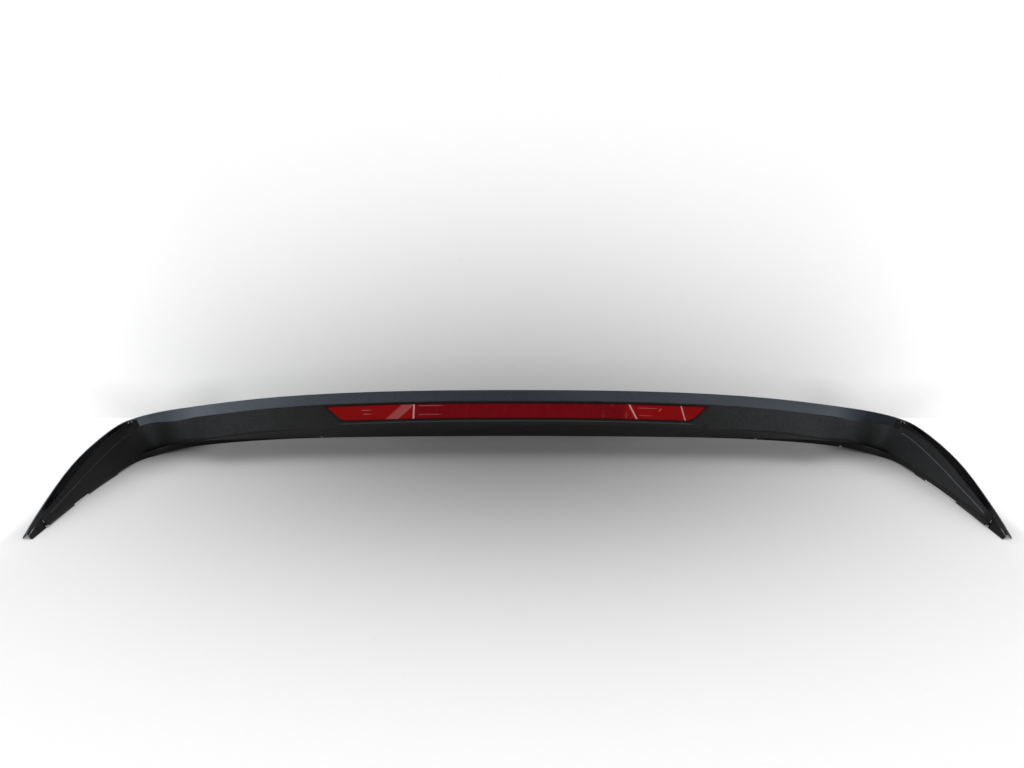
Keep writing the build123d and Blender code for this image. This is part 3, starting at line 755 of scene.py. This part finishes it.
# %% Glint rings
GLINT_PLACE = (0.5639, 0.0149, 0.0672)
GLINT_TURN = math.radians(47)
GLINT_RING_R = 0.0027
WIRE_R = 0.0007


# Each half ring is a bright piece that stands in for a glint: a painted highlight.
def glint_ring(name, side):
    x, y, z = GLINT_PLACE
    bpy.ops.object.select_all(action="DESELECT")
    bpy.ops.mesh.primitive_torus_add(
        major_radius=GLINT_RING_R, minor_radius=WIRE_R, major_segments=32, minor_segments=12
    )
    ring_piece = bpy.context.object
    ring_piece.name = name
    bpy.ops.object.mode_set(mode="EDIT")
    bpy.ops.mesh.select_all(action="SELECT")
    bpy.ops.mesh.bisect(plane_co=(0, 0, 0), plane_no=(0, 1, 0), use_fill=True, clear_inner=True)
    bpy.ops.object.mode_set(mode="OBJECT")
    ring_piece.location = (side * x, y, z)
    ring_piece.rotation_euler = (math.pi / 2, 0, -side * GLINT_TURN)
    bpy.ops.object.transform_apply(location=True, rotation=True, scale=True)
    bpy.ops.object.shade_smooth()
    ring_piece.data.materials.append(bpy.data.materials["plated_steel"])
    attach(ring_piece, "root")
    print(name, len(ring_piece.data.polygons), "faces")


for hand, side in SIDES.items():
    glint_ring(f"glint_ring_{hand}", side)

# %% [markdown]
# ## One threaded stud
# The solids have plain round studs. A thread is easy to add: from the round end of the shoulder, the
# face is pulled down half a pitch and widened to the thread's crest, then pulled again and shrunk to
# its root, turn by turn.

# %% Threaded stud
HEAD_R = 0.009
HEAD_HEIGHT = 0.0024
SHOULDER_R = 0.004
SHOULDER_HEIGHT = 0.0074
CREST_R = 0.003
ROOT_R = 0.0025
PITCH = 0.001
TURNS = 8
POINT_SHARE = 0.8
ROUND_BELOW = math.radians(35)

bpy.ops.object.select_all(action="DESELECT")
bpy.ops.mesh.primitive_circle_add(vertices=32, radius=HEAD_R, fill_type="NGON")
stud = bpy.context.object
stud.name = "threaded_studs"
bpy.ops.object.mode_set(mode="EDIT")
bpy.ops.mesh.select_all(action="SELECT")


def pull(depth, scale):
    """Pulls the selected end face down, then scales it."""
    bpy.ops.mesh.extrude_region_move(TRANSFORM_OT_translate={"value": (0, 0, -depth)})
    bpy.ops.transform.resize(value=(scale, scale, 1))


pull(HEAD_HEIGHT, 1)
bpy.ops.mesh.inset(thickness=HEAD_R - SHOULDER_R)
pull(SHOULDER_HEIGHT, 1)
bpy.ops.mesh.inset(thickness=SHOULDER_R - ROOT_R)
for turn in range(TURNS):
    pull(PITCH / 2, CREST_R / ROOT_R)
    pull(PITCH / 2, ROOT_R / CREST_R)
pull(PITCH, POINT_SHARE)
bpy.ops.mesh.select_all(action="SELECT")
bpy.ops.mesh.normals_make_consistent(inside=False)
bpy.ops.object.mode_set(mode="OBJECT")
bpy.ops.object.shade_smooth_by_angle(angle=ROUND_BELOW)
print("one stud", len(stud.data.polygons), "faces")

# %% [markdown]
# ## Four studs
# The stud is copied to each of the four brackets, and the copies are joined to one piece that takes the
# place of the plain studs.

# %% Four studs
STUD_Y = 0.143507
STUD_TOPS = {-0.33: 0.0214955, -0.11: 0.0288773, 0.11: 0.0288773, 0.33: 0.0214955}

copies = [stud]
for _ in range(len(STUD_TOPS) - 1):
    bpy.ops.object.select_all(action="DESELECT")
    stud.select_set(True)
    bpy.context.view_layer.objects.active = stud
    bpy.ops.object.duplicate()
    copies.append(bpy.context.object)
for copy, (x, top) in zip(copies, STUD_TOPS.items()):
    copy.location = (x, STUD_Y, top)
bpy.ops.object.select_all(action="DESELECT")
for copy in copies:
    copy.select_set(True)
bpy.context.view_layer.objects.active = stud
bpy.ops.object.transform_apply(location=True, rotation=True, scale=True)
bpy.ops.object.join()
stud.data.materials.clear()
stud.data.materials.append(bpy.data.materials["plated_steel"])
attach(stud, "root")
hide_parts("mount_studs")
print("threaded studs", len(stud.data.polygons), "faces")

# %% [markdown]
# ## White paint for floor and wall
# The spoiler lies on a white floor close to a white wall. Both are seen from their front only, so the
# spoiler can also be looked at from below and from behind. Less of the room's light arrives beside the
# spoiler, so both turn grey there: in a wide soft patch, and deeper where the solids shut the light out.
# Part of the white is a glow that is seen and mirrored but doesn't light the spoiler.

# %% White paint
SEEN_RAYS = ("Camera", "Glossy", "Transmission")
SHUT_IN = 0.08
SPILL_X = (0.46, 0.54)
SPILL = 0.6
SIDE_GAIN = 0.15
BLACK = (0, 0, 0, 1)
PALE_GREY = (0.8, 0.8, 0.8, 1)
WHITE = (1, 1, 1, 1)


def outside_patch(made, centre, shrink, reach):
    """0 in the middle of a wide soft patch, 1 outside it."""
    offset = made.vector_math("SUBTRACT", made.place, centre)
    scaled = made.vector_math("MULTIPLY", offset, shrink)
    return made.vector_math("LENGTH", scaled, output="Value").step(0.0, reach)


def dirt(made):
    """Faint clouds, stains and specks."""
    specks = (1 - made.cells(7.0).step(0.006, 0.014)) * 0.2
    return made.noise(1.5, 2.0) * 0.01 + made.noise(60.0, 4.0).step(0.66, 0.8) * 0.03 + specks


def seen_share(made):
    """1 for the rays that show a sheet, 0 for those that only carry its light on."""
    rays = [made.node("ShaderNodeLightPath", output=f"Is {ray} Ray") for ray in SEEN_RAYS]
    return made.math("ADD", rays[0] + rays[1], rays[2], clamp=True)


def show_front_only(made):
    behind = made.node("ShaderNodeNewGeometry", output="Backfacing")
    clear = made.node("ShaderNodeBsdfTransparent")
    painted = Shade(made.tree, made.shader.outputs[0])
    either = made.node("ShaderNodeMixShader", None, {0: behind, 1: painted, 2: clear})
    made.feed(made.tree.nodes["Material Output"].inputs["Surface"], either)


def sheet_finish(name, centre, shrink, reach, sides, least, white, glow):
    """White paint, greyer where the room's light is shut off."""
    made = Finish(name)
    open_side = abs(made.x).step(*sides)
    lit = made.math("MAXIMUM", outside_patch(made, centre, shrink, reach), open_side)
    light = least + lit * (1 - least) - dirt(made)
    seen = seen_share(made)
    shown = light.blend(BLACK, (white, white, white, 1))
    made.set(base_color=seen.blend(PALE_GREY, shown), roughness=0.85, specular_ior_level=0.1)
    free = made.node("ShaderNodeAmbientOcclusion", {"samples": 8}, {"Distance": SHUT_IN}, "AO")
    spill = (1 - abs(made.x).step(*SPILL_X)) * SPILL
    open_air = made.math("MAXIMUM", free + (1 - free) * spill, open_side)
    shine = light * seen * open_air * (1 - SIDE_GAIN + open_side * SIDE_GAIN)
    made.set(emission_color=shine.blend(BLACK, WHITE), emission_strength=glow)
    show_front_only(made)
    return made.material


white_floor = sheet_finish(
    "white_floor",
    centre=(0, 0.09, 0),
    shrink=(0.72, 1, 1),
    reach=0.72,
    sides=(0.55, 0.64),
    least=0.27,
    white=0.64,
    glow=0.47,
)
WALL_Y = 0.2145
white_wall = sheet_finish(
    "white_wall",
    centre=(0, WALL_Y, 0.03),
    shrink=(0.62, 1, 1),
    reach=0.5,
    sides=(0.45, 0.8),
    least=0.66,
    white=0.68,
    glow=0.6,
)
print("white paint done")

# %% [markdown]
# ## Floor and wall
# Both are plain square sheets, wide enough to fill the picture. The floor lies a hair below the
# spoiler, and the wall stands on its far edge.

# %% Floor and wall
FLOOR_Z = -0.0003
SHEET = 6


def sheet(name, place, turn, finish):
    bpy.ops.object.select_all(action="DESELECT")
    bpy.ops.mesh.primitive_plane_add(size=SHEET, location=place, rotation=turn)
    made = bpy.context.object
    made.name = name
    bpy.ops.object.transform_apply(location=True, rotation=True, scale=True)
    made.data.materials.append(finish)
    return made


floor = sheet("floor", (0, WALL_Y - SHEET / 2, FLOOR_Z), (0, 0, 0), white_floor)
wall = sheet("wall", (0, WALL_Y, FLOOR_Z + SHEET / 2), (math.pi / 2, 0, 0), white_wall)
print("floor and wall done")

# %% [markdown]
# ## Light
# Two wide lamps stand high on the left and on the right. They give the soft shadow between the fins,
# and even white surroundings fill it. The surroundings are full white to the camera and send the
# spoiler only part of that.

# %% Light
FILL = 0.45
LAMP_SIZE = (2.2, 2.0)

world = bpy.data.worlds.new("studio")
world.use_nodes = True
bpy.context.scene.world = world
surround = Shade(world.node_tree)
seen = surround.node("ShaderNodeLightPath", output="Is Camera Ray")
backdrop = world.node_tree.nodes["Background"]
surround.feed(backdrop.inputs["Strength"], FILL + seen * (1 - FILL))
surround.feed(backdrop.inputs["Color"], WHITE)


def area_lamp(name, place, power):
    """A wide lamp that points at the origin, under the middle of the spoiler."""
    lamp = bpy.data.lights.new(name, "AREA")
    lamp.shape = "RECTANGLE"
    lamp.size, lamp.size_y = LAMP_SIZE
    lamp.energy = power
    holder = bpy.data.objects.new(name, lamp)
    holder.location = place
    holder.rotation_euler = (-Vector(place)).to_track_quat("-Z", "Y").to_euler()
    bpy.context.scene.collection.objects.link(holder)


area_lamp("left_lamp", place=(-1.4, -0.5, 2.4), power=26)
area_lamp("right_lamp", place=(1.3, -0.5, 2.4), power=25)
print("light done")

# %% [markdown]
# ## Camera
# The camera stands in front at about knee height, tilted down, with a wide lens like a phone's. The
# plain view transform shows the white of the room as white.

# %% Camera
CAMERA_PLACE = (-0.0064, -0.9945, 0.455)
CAMERA_TILT = math.radians(72)
SENSOR_MM = 36
FOCAL_MM = 26

camera_data = bpy.data.cameras.new("camera")
camera_data.sensor_width = SENSOR_MM
camera_data.lens = FOCAL_MM
camera = bpy.data.objects.new("camera", camera_data)
camera.location = CAMERA_PLACE
camera.rotation_euler = (CAMERA_TILT, 0, 0)
bpy.context.scene.collection.objects.link(camera)
bpy.context.scene.camera = camera
bpy.context.scene.view_settings.view_transform = "Standard"
print("camera done")
